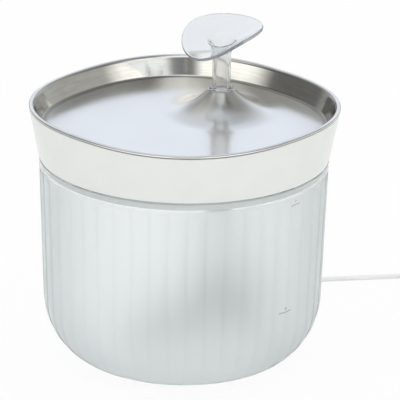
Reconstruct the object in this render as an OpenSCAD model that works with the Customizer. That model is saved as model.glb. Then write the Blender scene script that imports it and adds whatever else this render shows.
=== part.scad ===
// Pet drinking fountain: a frosted tank with a submersible pump and a filter box, a collar, a steel
// drinking tray with an off-centre cone, and a clear spout that ends in a leaf.
// Millimetres. The origin is the centre of the rest face, +Z is up, the front is -Y, the cord leaves at +Y.

/* [Tank] */
// Height of the tank, up to the seat of the collar
tank_h = 136; // [120:1:170]
// Outer radius of the tank at its top edge
tank_top_r = 93.5; // [84:0.5:112]
// How much narrower the wall is where the rounding of the base starts
tank_taper = 3.1; // [0:0.1:6]
// Height of the rounding of the base
round_h = 44; // [34:1:54]
// Width of the rounding of the base
round_w = 34.4; // [28:0.2:42]
// Wall thickness of the tank
tank_wall = 2.6; // [2:0.1:3.6]
// Floor thickness of the tank
tank_floor = 3; // [2:0.1:4]
// Number of flutes round the wall
flute_count = 48; // [24:4:60]
// Depth of a flute
flute_depth = 0.6; // [0.2:0.1:1]
// Height of the plain band above the flutes
plain_band = 6; // [4:0.5:12]
// Width of the ring that the tank stands on
foot_w = 9; // [5:0.5:14]
// Depth of the recess inside that ring
foot_recess = 0.8; // [0.4:0.1:1.4]

/* [Collar] */
// Height from the seat of the collar to the top of the tray's rim
collar_h = 34; // [28:1:42]
// Wall thickness of the collar
collar_wall = 2.6; // [2:0.1:3.2]
// Depth of the skirt inside the tank
skirt_h = 5; // [3:0.5:8]
// Wall thickness of the skirt
skirt_wall = 2; // [1.4:0.1:3]

/* [Tray] */
// Width of the tray's rim across its flats
rim_w = 190; // [172:1:228]
// How square the rim is: 2 is a circle
rim_power = 2.37; // [2:0.01:2.8]
// Thickness of the sheet steel
sheet_t = 0.8; // [0.5:0.1:1.2]
// Radius of the bead that is rolled along the rim
bead_r = 1.3; // [1:0.1:1.8]
// Depth from the rim to the floor
tray_depth = 13; // [9:0.5:20]
// How far the wall's foot stands in from the rim
wall_foot = 6.2; // [5.6:0.2:10]
// Width of the sloping band between the wall and the floor
cove_w = 4; // [2:0.2:7]
// Height of that band
cove_h = 4; // [1:0.2:5]
// Height of the cone above the floor
cone_h = 14.6; // [9:0.2:20]
// Radius of the cone where it leaves the floor
cone_base_r = 42; // [28:1:46]
// Number of drain slots in the floor
drain_count = 7; // [3:2:9]
// Width of a drain slot
drain_w = 3; // [2:0.2:3.6]
// Length of a drain slot
drain_l = 12; // [6:1:16]
// Distance from the slots to the foot of the wall
drain_gap = 4; // [3:0.5:8]

/* [Spout] */
// How far the spout stands behind the centre
spout_y = 34; // [28:0.5:38]
// Outer radius of the stem
stem_r = 6; // [5:0.1:7.2]
// Radius of the bore of the stem
spout_bore_r = 4; // [3:0.1:4.5]
// Height of the leaf's centre above the rim
leaf_rise = 36.2; // [28:0.2:44]
// Length of the leaf, front to back
leaf_l = 59; // [48:1:72]
// Width of the leaf
leaf_w = 46.5; // [38:0.5:56]
// Thickness of the leaf
leaf_t = 2; // [1.6:0.1:2.6]
// Radius of the trough that the leaf is bent to
leaf_bend_r = 36; // [30:1:46]
// Tilt of the leaf, up to the back
leaf_tilt = 10; // [4:1:16]
// Radius of the flange that stands on the cone
flange_r = 7.8; // [7.4:0.1:9]
// Thickness of that flange
flange_t = 1.4; // [1:0.1:2]
// How far the stem reaches down from its flange
plug_l = 22; // [18:1:26]

/* [Pump] */
// Width of the pump
pump_w = 30; // [30:0.5:36]
// Height of the pump
pump_h = 28; // [26:0.5:34]
// Length of the sealed motor housing
motor_l = 24; // [22:0.5:30]
// Length of the volute
volute_l = 12; // [12:0.5:14]
// Length of the intake cover
intake_l = 7.5; // [7:0.5:10]
// Radius of the impeller
impeller_r = 9.4; // [7.5:0.1:10]
// Number of blades on the impeller
blade_count = 5; // [3:1:7]
// Radius of the magnet on the impeller
magnet_r = 5; // [4:0.1:5.6]
// Radius of the pump's shaft
shaft_r = 1; // [0.8:0.1:1.2]
// Radius of the outlet nozzle
nozzle_r = 5.5; // [5:0.1:5.8]
// Height of the suction cups under the pump
cup_h = 4.5; // [3.5:0.1:6]
// Outer radius of the riser tube
riser_r = 8; // [7.6:0.1:9]
// Pitch of the intake slots that the flow slide covers
slide_pitch = 5.6; // [4.4:0.2:5.6]

/* [Filter] */
// Width of the filter box
box_w = 46; // [40:1:56]
// Length of the filter box
box_l = 51; // [44:1:60]
// Height of the filter box without its lid
box_h = 21; // [18:1:26]
// Wall thickness of the filter box
box_wall = 1.6; // [1.2:0.1:2]
// Thickness of the lid's plate
lid_t = 1.8; // [1.4:0.1:2.4]
// Width of the slots in the box and its lid
slot_w = 2; // [1.6:0.1:2.4]

/* [Cord] */
// Diameter of the cord
cord_d = 3.3; // [3:0.1:3.6]
// Radius of the coil at the middle of its turns
coil_r = 19.5; // [17:0.5:22]
// Turns side by side in the coil
coil_columns = 4; // [3:1:5]
// Layers of turns in the coil
coil_layers = 2; // [2:1:3]
// Length of the plug's body
plug_body_l = 24; // [20:1:30]
// Width of the plug's body
plug_body_w = 15; // [14:0.5:18]
// Height of the plug's body
plug_body_h = 8; // [7:0.5:10]
// Width of the plug's metal shell
shell_w = 12; // [11.6:0.1:12.4]
// Height of the plug's metal shell
shell_h = 4.5; // [4.3:0.1:4.7]
// Length of the plug's metal shell
shell_l = 12; // [11:0.5:19]

/* [Fits] */
// Gap between a shaft or stem and its bore
run_gap = 0.06; // [0.02:0.01:0.1]
// Gap between parts that lift apart
lift_gap = 0.4; // [0.3:0.05:0.6]
// Gap between parts that stay together
seat_gap = 0.2; // [0.1:0.05:0.3]
// Least gap between the tray's wall and the collar round it
collar_gap = 1.5; // [0.8:0.1:3]

/* [Hidden] */
$fn = 64;

// Rings that loft between a circle and the rim's rounded square.
ring_n = 80;
rim_half = rim_w / 2;
function rim_r(a) = rim_half
    / pow(pow(abs(cos(a)), rim_power) + pow(abs(sin(a)), rim_power), 1 / rim_power);
// A ring is [share of the rim's outline, circle radius, inset, height].
function ring_points(ring) = [
    for (i = [0:ring_n - 1])
        let (a = 360 * i / ring_n, r = (1 - ring[0]) * ring[1] + ring[0] * rim_r(a) - ring[2])
            [r * cos(a), r * sin(a), ring[3]]];
function ring_strip(low, high, n) = [
    for (j = [0:n - 1]) let (k = (j + 1) % n) [low + j, high + j, high + k, low + k]];

// Skin over rings of n points each that runs out, up, in and back down: a closed loop, or capped at
// both ends.
module loft(points, n, loop = false) {
    count = len(points) / n;
    strips = [for (i = [0:count - (loop ? 1 : 2)])
        each ring_strip(i * n, ((i + 1) % count) * n, n)];
    caps = loop ? [] : [
        [for (j = [0:n - 1]) j],
        [for (j = [n - 1:-1:0]) (count - 1) * n + j]];
    polyhedron(points, concat(strips, caps));
}

module skin(rings, loop = false) loft([for (ring = rings) each ring_points(ring)], ring_n, loop);

// Tank.
wall_fn = 240;
round_steps = 8;
wall_slope = tank_taper / (tank_h - round_h);
wall_low_r = tank_top_r - tank_taper;
foot_r = wall_low_r - round_w;
tank_in_r = tank_top_r - tank_wall;
flute_top = tank_h - plain_band;
flute_fade = 30;
function tank_r(z) = wall_low_r + wall_slope * (z - round_h);
function quarter(foot, low, width, height) = [
    for (i = [0:round_steps]) let (t = 90 * i / round_steps)
        [foot + width * sin(t), low + height * (1 - cos(t))]];

// Rings of the fluted wall, each [radius, flute depth, height]; the flutes fade out on the rounding.
flute_steps = 4;
wall_n = flute_count * flute_steps;
function wall_points(ring) = [
    for (i = [0:wall_n - 1])
        let (a = 360 * i / wall_n,
             r = ring[0] - ring[1] * sin(180 * (i % flute_steps) / flute_steps))
            [r * cos(a), r * sin(a), ring[2]]];
wall_rings = concat(
    [for (i = [0:round_steps])
        let (t = 90 * i / round_steps, p = quarter(foot_r, 0, round_w, round_h)[i])
            [p[0], flute_depth * max(0, (t - flute_fade) / (90 - flute_fade)), p[1]]],
    [[tank_r(flute_top - 3), flute_depth, flute_top - 3],
     [tank_r(flute_top), 0, flute_top],
     [tank_top_r, 0, tank_h]]);

// Collar and tray heights.
rim_z = tank_h + collar_h;
bead_z = rim_z - bead_r;
collar_top_z = rim_z - 2 * bead_r - seat_gap;
floor_z = rim_z - tray_depth;
cove_z = floor_z + cove_h;
skirt_out_r = tank_in_r - lift_gap;
skirt_in_r = skirt_out_r - skirt_wall;
wall_head = 2 * bead_r + 1.3;
function collar_share(z) = (z - tank_h) / (collar_top_z - tank_h);
// The wall's foot also clears the collar, which leans in towards the tank.
foot_in = max(wall_foot,
    collar_gap + 0.2 + collar_wall + (rim_half - tank_top_r) * (1 - collar_share(floor_z - sheet_t)));
floor_edge = foot_in + cove_w;

// Notch for the cord, in the tank's edge and in the collar's skirt.
notch_w = cord_d + 0.9;
notch_h = cord_d + 2.2;

// Cone and spout.
cone_z = floor_z + cone_h;
cone_land = 1.6;
seal_body_r = stem_r + run_gap + 0.9;
hole_r = seal_body_r + run_gap;
seal_lip_t = 0.6;
flange_z = cone_z + seal_lip_t + 2 * run_gap;
stem_low_z = flange_z - plug_l;
leaf_z = rim_z + leaf_rise;
flare_h = 11;
flare_w = 4.4;

// Pump, with the axis of its rotor along Y.
pump_low_z = tank_floor + cup_h;
axis_z = pump_low_z + pump_h / 2;
pump_top_z = pump_low_z + pump_h;
chamber_r = impeller_r + 1.1;
volute_y = spout_y - volute_l / 2;
motor_y = volute_y + volute_l;
motor_back_y = motor_y + motor_l;
intake_y = volute_y - intake_l;
front_wall = 2;
well_r = magnet_r + 0.5;
well_wall = 1.2;
well_l = motor_l - 6;
bush_r = shaft_r + 1;
bush_l = 2;
nozzle_h = 10;
nozzle_bore = min(nozzle_r - 1.5, volute_l / 2 - front_wall - 0.2);
nozzle_top_z = pump_top_z + nozzle_h;
riser_top_z = stem_low_z + 9;
cover_wall = 1.6;
window_w = 17;
window_h = 10;
window_z = pump_low_z + cover_wall + 2;
slide_t = 1.2;
slide_slot = slide_pitch / 2 - 0.2;
slide_travel = slide_pitch / 2;
slide_half = slide_pitch + slide_slot / 2 + slide_travel + 0.4;
tab_w = 6;
tab_h = 5;
tab_head = 3.5;
tab_lip = 0.6;
pump_corner = 3;
groove_w = 1.6;
groove_in = 5;
groove_pitch = 4;
groove_deep = 0.5;
potting_deep = 0.8;
side_slot_w = 2;

// Filter box.
box_y = intake_y - seat_gap;
box_front_y = box_y - box_l;
box_corner = 8;
box_band = 0.8;
band_h = 2;
lid_z = tank_floor + box_h;
grille_pitch = 4.4;
grip_w = 14;
grip_t = 3;
foam_share = 0.5;

// Cord: the points of its route, from the gland to the coil, chosen by hand.
cord_route = [
    [0, 56, 49], [0, 56, 54], [0, 56.6, 60], [0, 59, 68], [0, 63, 77], [0, 67.8, 87], [0, 71.8, 98],
    [0, 74.9, 107.4], [0, 77.3, 115], [0, 79.6, 122.7], [0, 82.4, 127.7], [0, 87.1, 131.3],
    [0, 93, 132.6], [0, 98.9, 131.3], [0, 103.6, 127.6], [-0.4, 106.6, 122], [-1.2, 108, 115],
    [-2.6, 108.6, 107], [-4.6, 108.7, 98], [-7.2, 108.4, 84], [-9.8, 108, 70], [-12.4, 107.5, 56],
    [-14.8, 107.3, 43],
    [-17, 107.7, 31], [-18.8, 109.2, 20.5], [-20.4, 112, 12], [-21.8, 116.4, 6], [-22.8, 122, 2.9],
    [-23.3, 128.6, 1.75], [-22.8, 134.8, 1.75], [-21.2, 140.6, 1.75], [-18, 146.6, 1.75],
    [-13, 153, 1.75], [-6.2, 162, 1.75], [0.8, 171, 1.75], [7.8, 180, 1.75], [14, 188, 1.75],
    [20, 196, 1.75], [28, 206.7, 1.75]];

// ---------------------------------------------------------------------------------------- tank

module water_tank() color([0.87, 0.92, 0.94, 0.55]) difference() {
    loft([for (ring = wall_rings) each wall_points(ring)], wall_n);
    rotate_extrude($fn = wall_fn) polygon(concat([[0, tank_floor]],
        quarter(foot_r - 2, tank_floor, round_w + 2 - tank_wall, round_h - tank_floor),
        [[tank_in_r, tank_h + 1], [0, tank_h + 1]]));
    translate([0, 0, -1]) cylinder(h = 1 + foot_recess, r = foot_r - foot_w);
    translate([-notch_w / 2, tank_in_r - 3, tank_h - notch_h]) cube([notch_w, 10, notch_h + 1]);
}

// -------------------------------------------------------------------------------------- collar

module collar() color([0.93, 0.94, 0.92]) {
    middle_z = tank_h + collar_h * 0.45;
    inner_z = tank_h + collar_h * 0.3;
    difference() {
        skin([
            [0, skirt_in_r, 0, tank_h - skirt_h],
            [0, skirt_out_r, 0, tank_h - skirt_h],
            [0, skirt_out_r, 0, tank_h],
            [0, tank_top_r - 0.4, 0, tank_h],
            [0, tank_top_r, 0, tank_h + 0.6],
            [collar_share(middle_z), tank_top_r, 0.2, middle_z],
            [1, 0, 0.3, collar_top_z - 0.6],
            [1, 0, 0.8, collar_top_z],
            [1, 0, 0.3 + collar_wall, collar_top_z],
            [collar_share(middle_z), tank_top_r, 0.2 + collar_wall, middle_z],
            [collar_share(inner_z), tank_top_r, 0.2 + collar_wall, inner_z],
            [0, skirt_in_r, 0, tank_h + 4]], loop = true);
        translate([-notch_w / 2 - 0.4, skirt_in_r - 3, tank_h - skirt_h - 1])
            cube([notch_w + 0.8, 6, skirt_h + 0.4]);
    }
}

// ---------------------------------------------------------------------------------------- tray

// Half section of the cone: a round land at the hole, then an arc that runs out onto the floor.
cone_steps = 12;
function cone_line(drop) = [
    for (i = [0:cone_steps])
        let (t = i / cone_steps, r = hole_r + cone_land + (cone_base_r - hole_r - cone_land) * t)
            [r, floor_z + cone_h * pow(1 - t, 2.6) - drop]];

module cone_sheet() rotate_extrude() polygon(concat(
    [[hole_r, cone_z - sheet_t], [hole_r, cone_z]],
    cone_line(0),
    [[cone_base_r + 1, floor_z], [cone_base_r + 1, floor_z - sheet_t]],
    [for (i = [cone_steps:-1:0]) cone_line(sheet_t)[i]]));

// Slots in a row behind the front wall, where the rim hides them.
drain_y = floor_edge + drain_gap - rim_half;
module drain_slots() for (i = [0:drain_count - 1])
    translate([(i - (drain_count - 1) / 2) * 2.2 * drain_w, drain_y, floor_z - 3]) hull()
        for (y = [drain_w / 2, drain_l - drain_w / 2]) translate([0, y, 0])
            cylinder(h = 6, r = drain_w / 2, $fn = 32);

module drinking_tray() color([0.78, 0.78, 0.77]) {
    bead = [for (a = [-90:36:90])
        [1, 0, bead_r - bead_r * cos(a), bead_z + bead_r * sin(a)]];
    difference() {
        skin(concat(
            [[1, 0, floor_edge - 0.4 * sheet_t, floor_z - sheet_t],
             [1, 0, foot_in - 0.9 * sheet_t, cove_z - 0.5 * sheet_t],
             [1, 0, wall_head - sheet_t + 0.1, rim_z - 2 * bead_r]],
            bead,
            [[1, 0, wall_head - 0.7, rim_z - 0.3],
             [1, 0, wall_head, rim_z - 1.2],
             [1, 0, foot_in - 0.1, cove_z + 0.5],
             [1, 0, foot_in + 0.3, cove_z - 0.4],
             [1, 0, floor_edge - 0.4, floor_z + 0.25],
             [1, 0, floor_edge + 0.2, floor_z]]));
        translate([0, spout_y, floor_z - 5]) cylinder(h = 10, r = cone_base_r + 0.5);
        drain_slots();
    }
    translate([0, spout_y, 0]) cone_sheet();
}

// --------------------------------------------------------------------------------------- spout

module spout_seal() color([0.9, 0.9, 0.9]) translate([0, spout_y, 0])
    rotate_extrude() difference() {
        translate([stem_r + run_gap, cone_z - sheet_t - run_gap - 1])
            square([2.2, 1 + sheet_t + seal_lip_t + 2 * run_gap]);
        translate([seal_body_r, cone_z - sheet_t - run_gap]) square([4, sheet_t + 2 * run_gap]);
    }

module leaf_shape(thick) intersection() {
    translate([0, 0, -10]) linear_extrude(height = 30) polygon([
        for (a = [0:6:354]) [leaf_w / 2 * cos(a), leaf_l / 2 / cos(leaf_tilt) * sin(a)]]);
    difference() {
        translate([0, 0, leaf_bend_r]) rotate([90, 0, 0])
            cylinder(h = 2 * leaf_l, r = leaf_bend_r + thick, center = true, $fn = 128);
        leaf_hollow();
    }
}

module leaf_hollow() translate([0, 0, leaf_bend_r]) rotate([90, 0, 0])
    cylinder(h = 3 * leaf_l, r = leaf_bend_r, center = true, $fn = 128);

module leaf_frame() translate([0, spout_y, leaf_z]) rotate([leaf_tilt, 0, 0]) children();

module leaf_spout() color([0.85, 0.9, 0.95, 0.4]) difference() {
    union() {
        leaf_frame() leaf_shape(leaf_t);
        translate([0, spout_y, 0]) rotate_extrude() polygon(concat(
            [[0, stem_low_z], [stem_r - 0.6, stem_low_z], [stem_r, stem_low_z + 0.6],
             [stem_r, flange_z], [flange_r, flange_z], [flange_r, flange_z + flange_t - 0.4],
             [flange_r - 0.4, flange_z + flange_t], [stem_r, flange_z + flange_t]],
            [for (t = [0:15:90])
                [stem_r + flare_w * (1 - cos(t)), leaf_z - flare_h + (flare_h - 1) * sin(t)]],
            [[0, leaf_z - 1]]));
    }
    leaf_frame() leaf_hollow();
    translate([0, spout_y, stem_low_z - 1]) cylinder(h = leaf_z + 10 - stem_low_z, r = spout_bore_r);
    translate([0, spout_y, leaf_z - 5]) cylinder(h = 8, r1 = spout_bore_r - 0.2, r2 = spout_bore_r + 3.2);
}

module riser_tube() color([0.92, 0.93, 0.93]) translate([0, spout_y, 0]) difference() {
    translate([0, 0, pump_top_z]) cylinder(h = riser_top_z - pump_top_z, r = riser_r);
    translate([0, 0, pump_top_z - 1]) cylinder(h = nozzle_h + 1, r = nozzle_r + run_gap);
    translate([0, 0, pump_top_z]) cylinder(h = riser_top_z, r = nozzle_bore);
    translate([0, 0, stem_low_z - 1]) cylinder(h = 20, r = stem_r + lift_gap);
}

// ---------------------------------------------------------------------------------------- pump

// A block of the pump's section between two depths.
module pump_block(y, length) translate([0, y + length, axis_z]) rotate([90, 0, 0])
    linear_extrude(height = length) square_round(pump_w, pump_h, pump_corner);

module square_round(w, h, r) union() {
    square([w - 2 * r, h], center = true);
    square([w, h - 2 * r], center = true);
    for (x = [-1, 1], y = [-1, 1]) translate([x * (w / 2 - r), y * (h / 2 - r)]) circle(r);
}

// A round bar or bore along the rotor's axis.
module on_axis(y, length, r) translate([0, y + length, axis_z]) rotate([90, 0, 0])
    cylinder(h = length, r = r);

core_y = motor_y + 5;
core_l = motor_l - 9;
core_out = pump_w / 2 - 1.6;
core_in = well_r + well_wall + 0.4;
coil_low = pump_low_z + 1.8;
coil_top = axis_z - core_in - 0.2;

module core_outline(grow) {
    translate([-core_out - grow, coil_low - grow])
        difference() {
            square([2 * (core_out + grow), axis_z + 4 - coil_low + 2 * grow]);
            translate([core_out - core_in + 2 * grow, 3 + 2 * grow])
                square([2 * core_in - 2 * grow, 60]);
        }
}

module core_solid(grow) translate([0, core_y + core_l + grow, 0]) rotate([90, 0, 0])
    linear_extrude(height = core_l + 2 * grow) core_outline(grow);

module winding_solid(grow) translate([-5 - grow, core_y - 1.5 - grow, coil_low - 1 - grow])
    cube([10 + 2 * grow, core_l + 3 + 2 * grow, coil_top - coil_low + 1 + 2 * grow]);

module motor_housing() color([0.25, 0.27, 0.29]) difference() {
    pump_block(motor_y, motor_l);
    on_axis(motor_y - 1, well_l + 1, well_r);
    on_axis(motor_y + well_l - 1, 1 + bush_l, bush_r);
    difference() {
        on_axis(motor_y - 1, 2.2, chamber_r + 2.2);
        on_axis(motor_y - 2, 4, chamber_r + 0.4);
    }
    core_solid(seat_gap);
    winding_solid(seat_gap);
    translate([0, 56, pump_top_z - 3]) cylinder(h = 4, r = 3.2);
    side_grooves();
    potting_recess();
}

// Upright grooves on both sides, and the recess behind that the motor is potted through.
module side_grooves() for (side = [-1, 1], i = [0:3])
    translate([side * pump_w / 2 - groove_deep, core_y + groove_pitch * i, pump_low_z + groove_in])
        cube([2 * groove_deep, groove_w, pump_h - 2 * groove_in]);

module potting_recess() translate([0, motor_back_y + 1, axis_z]) rotate([90, 0, 0])
    linear_extrude(height = 1 + potting_deep) square_round(pump_w - 5, pump_h - 5, pump_corner - 1);

module stator_core() color([0.6, 0.6, 0.62]) core_solid(0);

module stator_winding() color([0.72, 0.4, 0.2]) difference() {
    winding_solid(0);
    core_solid(seat_gap / 2);
}

module volute() color([0.25, 0.27, 0.29]) difference() {
    union() {
        pump_block(volute_y, volute_l);
        translate([0, spout_y, axis_z]) cylinder(h = nozzle_top_z - axis_z, r = nozzle_r);
    }
    on_axis(volute_y + front_wall, volute_l, chamber_r);
    translate([0, spout_y, axis_z]) cylinder(h = nozzle_top_z, r = nozzle_bore);
    difference() {
        on_axis(volute_y - 1, front_wall + 2, 6.4);
        on_axis(volute_y - 2, front_wall + 4, bush_r + 1.2);
        translate([-8, volute_y - 2, axis_z - 0.7]) cube([16, front_wall + 4, 1.4]);
    }
    on_axis(volute_y - 1, front_wall + 2, bush_r);
}

module volute_seal() color([0.15, 0.15, 0.16]) translate([0, motor_y + 0.6, axis_z])
    rotate([90, 0, 0]) rotate_extrude() translate([chamber_r + 1.3, 0]) circle(r = 0.55);

// Three upright slots, side by side.
module slide_slots(y, depth) for (x = [-slide_pitch, 0, slide_pitch])
    translate([x - slide_slot / 2, y, window_z]) cube([slide_slot, depth, window_h]);

module intake_cover() color([0.25, 0.27, 0.29]) difference() {
    pump_block(intake_y, intake_l);
    translate([cover_wall - pump_w / 2, intake_y + cover_wall, pump_low_z + cover_wall])
        cube([pump_w - 2 * cover_wall, intake_l, pump_h - 2 * cover_wall]);
    slide_slots(intake_y - 1, cover_wall + 2);
    for (side = [-1, 1]) translate([side * pump_w / 2 - 2, intake_y + intake_l / 2, window_z])
        cube([4, side_slot_w, window_h]);
    translate([-tab_w / 2 - lift_gap, intake_y + cover_wall, axis_z])
        cube([tab_w + slide_travel + 2 * lift_gap, slide_t + 2 * lift_gap, pump_h]);
}

module flow_slide() color([0.2, 0.45, 0.6]) {
    slide_y = intake_y + cover_wall + lift_gap;
    low = pump_low_z + cover_wall + lift_gap;
    difference() {
        translate([-slide_half, slide_y, low])
            cube([2 * slide_half, slide_t, pump_h - 2 * cover_wall - 2 * lift_gap]);
        slide_slots(slide_y - 1, slide_t + 2);
    }
    translate([-tab_w / 2, slide_y, axis_z + 4]) cube([tab_w, slide_t, pump_top_z + tab_h - axis_z - 4]);
    translate([-tab_w / 2 - tab_lip, slide_y - tab_lip, pump_top_z + tab_h - tab_head])
        cube([tab_w + 2 * tab_lip, slide_t + 2 * tab_lip, tab_head]);
}

module impeller() color([0.88, 0.88, 0.85]) difference() {
    union() {
        on_axis(volute_y + front_wall + 2.4, volute_l - front_wall - 0.9, 4);
        on_axis(motor_y - 2.6, 1.2, impeller_r);
        translate([0, motor_y - 2, axis_z]) rotate([90, 0, 0])
            for (i = [0:blade_count - 1]) rotate([0, 0, 360 * i / blade_count])
                translate([0, -0.6, 0]) cube([impeller_r, 1.2, volute_l - front_wall - 4]);
    }
    on_axis(volute_y, volute_l + 10, shaft_r + run_gap);
}

module rotor_magnet() color([0.22, 0.22, 0.24]) difference() {
    on_axis(motor_y + 1.5, well_l - 2.5, magnet_r);
    on_axis(motor_y, well_l + 2, shaft_r + run_gap);
}

module rotor_shaft() color([0.85, 0.86, 0.87])
    on_axis(volute_y + 0.3, volute_l + well_l + bush_l - 0.8, shaft_r);

module bush(y) difference() {
    on_axis(y, bush_l, bush_r - 0.02);
    on_axis(y - 1, bush_l + 2, shaft_r + 0.02);
}

module front_bush() color([0.1, 0.1, 0.1]) bush(volute_y);

module rear_bush() color([0.1, 0.1, 0.1]) bush(motor_y + well_l - 0.2);

// Four cups on the flat of the tank's floor.
module suction_cups() color([0.85, 0.85, 0.83])
    for (x = [-1, 1], y = [intake_y + 6.5, foot_r - 10])
        translate([x * (pump_w / 2 - 6), y, 0]) rotate_extrude() polygon([
            [0, tank_floor + 1.6], [3.6, tank_floor + 0.6], [5.2, tank_floor], [5.6, tank_floor],
            [5.6, tank_floor + 0.5], [3, pump_low_z - 1.2], [3, pump_low_z], [0, pump_low_z]]);

// -------------------------------------------------------------------------------------- filter

module box_prism(inset, low, high, back) translate([0, 0, low]) linear_extrude(height = high - low)
    intersection() {
        translate([0, (box_front_y + box_y) / 2 + box_corner / 2])
            square_round(box_w - 2 * inset, box_l - 2 * inset + box_corner, box_corner - inset);
        translate([-box_w, box_front_y - box_corner]) square([2 * box_w, box_l + box_corner - back]);
    }

module grille(count) for (i = [0:count - 1])
    translate([(i - (count - 1) / 2) * grille_pitch - slot_w / 2, 0, 0]) children();

module filter_box() color([0.9, 0.92, 0.92, 0.8]) difference() {
    union() {
        box_prism(0, tank_floor, lid_z, 0);
        box_prism(-box_band, lid_z - band_h, lid_z, 0);
    }
    box_prism(box_wall, tank_floor + box_wall, lid_z + 1, box_wall);
    translate([-window_w / 2, box_y - 5, window_z]) cube([window_w, 10, window_h]);
    grille(7) translate([0, box_front_y - 5, tank_floor + 4]) cube([slot_w, 12, box_h - 9]);
    for (i = [0:5]) translate([-box_w, box_front_y + 11 + grille_pitch * i, tank_floor + 4])
        cube([2 * box_w, slot_w, box_h - 9]);
}

module filter_lid() color([0.9, 0.92, 0.92]) {
    difference() {
        box_prism(0, lid_z + seat_gap, lid_z + seat_gap + lid_t, 0);
        for (row = [0, 1]) grille(6)
            translate([0, box_front_y + 7 + 22 * row, lid_z - 1]) cube([slot_w, 14, 6]);
    }
    difference() {
        box_prism(box_wall + lift_gap, lid_z - 1.6, lid_z + seat_gap, box_wall + lift_gap);
        box_prism(box_wall + lift_gap + 1.2, lid_z - 2, lid_z + seat_gap + 0.01, box_wall + lift_gap + 1.2);
    }
    translate([0, box_front_y + 23.5 + grip_t, lid_z + seat_gap + lid_t]) rotate([90, 0, 0])
        linear_extrude(height = grip_t) intersection() {
            circle(r = grip_w / 2);
            translate([-grip_w, 0]) square([2 * grip_w, grip_w]);
        }
}

module foam_block() color([0.25, 0.27, 0.3]) intersection() {
    box_prism(box_wall + seat_gap, tank_floor + box_wall, lid_z - 2, box_wall);
    translate([-box_w, box_front_y, 0]) cube([2 * box_w, box_l * foam_share, 60]);
}

carbon_y = box_front_y + box_l * foam_share + seat_gap;
carbon_l = box_y - box_wall - seat_gap - carbon_y;
carbon_w = box_w - 2 * (box_wall + seat_gap);
carbon_z = tank_floor + box_wall;
carbon_h = box_h - box_wall - 2;
frame_wall = 1.6;
frame_slot = 3;
frame_in = [carbon_w, carbon_l, carbon_h] - 2 * frame_wall * [1, 1, 1];

module carbon_frame() color([0.93, 0.93, 0.93]) translate([-carbon_w / 2, carbon_y, carbon_z])
    difference() {
        cube([carbon_w, carbon_l, carbon_h]);
        translate(frame_wall * [1, 1, 1]) cube(frame_in);
        for (i = [0:6]) translate([4 + i * (carbon_w - 8 - frame_slot) / 6, -1, frame_slot])
            cube([frame_slot, carbon_l + 2, carbon_h - 2 * frame_slot]);
    }

module carbon_fill() color([0.08, 0.08, 0.08])
    translate([-frame_in[0] / 2 + seat_gap, carbon_y + frame_wall + seat_gap, carbon_z + frame_wall])
        cube(frame_in - seat_gap * [2, 2, 1]);

// ---------------------------------------------------------------------------------------- cord

// The gland's sleeve is a stack of rings that get thinner towards the cord, so that it can bend.
gland_z = pump_top_z + 1.2;
gland_rings = 4;
gland_pitch = (cord_route[0][2] - gland_z) / gland_rings;
module cord_gland() color([0.92, 0.92, 0.9]) translate([0, 56, 0]) rotate_extrude() polygon(concat(
    [[0, pump_top_z - 2.8], [3, pump_top_z - 2.8], [3, pump_top_z], [4.2, pump_top_z], [4.2, gland_z]],
    [for (i = [0:gland_rings - 1])
        let (low = gland_z + gland_pitch * i, high = low + gland_pitch * 0.65, r = 3.6 - 0.3 * i)
            each [[r, low], [r, high], [r - 0.6, high], [r - 0.6, low + gland_pitch]]],
    [[0, cord_route[0][2]]]));

function unit(v) = v / norm(v);
function cord_ring(i) = let (
    last = len(cord_route) - 1,
    along = unit(cord_route[min(i + 1, last)] - cord_route[max(i - 1, 0)]),
    side = [1, 0, 0],
    across = unit(side - (side * along) * along),
    up = cross(along, across))
    [for (j = [0:7]) cord_route[i] + cord_d / 2 * (cos(45 * j) * across + sin(45 * j) * up)];

module cord_tube() color([0.93, 0.93, 0.92])
    loft([for (i = [0:len(cord_route) - 1]) each cord_ring(i)], 8);

// The coil's outer turn goes on in line with the end of the route, which stops at the coil's side.
coil_w = coil_columns * cord_d;
coil_out_r = coil_r + coil_w / 2;
turn_out_r = coil_out_r - cord_d / 2;
cord_end = cord_route[len(cord_route) - 1];
cord_way = unit(cord_end - cord_route[len(cord_route) - 2]);
run_in = sqrt(pow(coil_out_r + cord_d / 2 + 0.05, 2) - pow(turn_out_r, 2));
coil_centre = cord_end + run_in * cord_way + turn_out_r * [cord_way[1], -cord_way[0], 0];

module coil_frame() translate([coil_centre[0], coil_centre[1], 0]) children();

module cord_coil() color([0.93, 0.93, 0.92]) coil_frame() rotate_extrude()
    translate([coil_r - coil_w / 2, 0.1]) square([coil_w, coil_layers * cord_d]);

// The plug lies beside the coil, in line with its outer turn; its sleeve ends at the coil's side.
plug_angle = 17.5;
sleeve_r = 2.6;
sleeve_l = 12;
run_out = sqrt(pow(coil_out_r + sleeve_r + 0.05, 2) - pow(turn_out_r, 2));
plug_z = 0.1 + plug_body_h / 2;
module plug_frame() coil_frame() rotate([0, 0, plug_angle])
    translate([turn_out_r, -run_out, plug_z]) rotate([90, 0, 0]) children();

grip_groove = [9.2, 0.8, 1.2];
module plug_body() color([0.93, 0.93, 0.92]) plug_frame() {
    cylinder(h = sleeve_l, r1 = sleeve_r, r2 = sleeve_r + 0.7);
    difference() {
        translate([0, 0, sleeve_l]) linear_extrude(height = plug_body_l)
            square_round(plug_body_w, plug_body_h, 2.5);
        for (side = [-1, 1], i = [0:4])
            translate([0, side * plug_body_h / 2, sleeve_l + 6 + 2 * grip_groove[2] * i])
                cube(grip_groove, center = true);
    }
}

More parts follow.
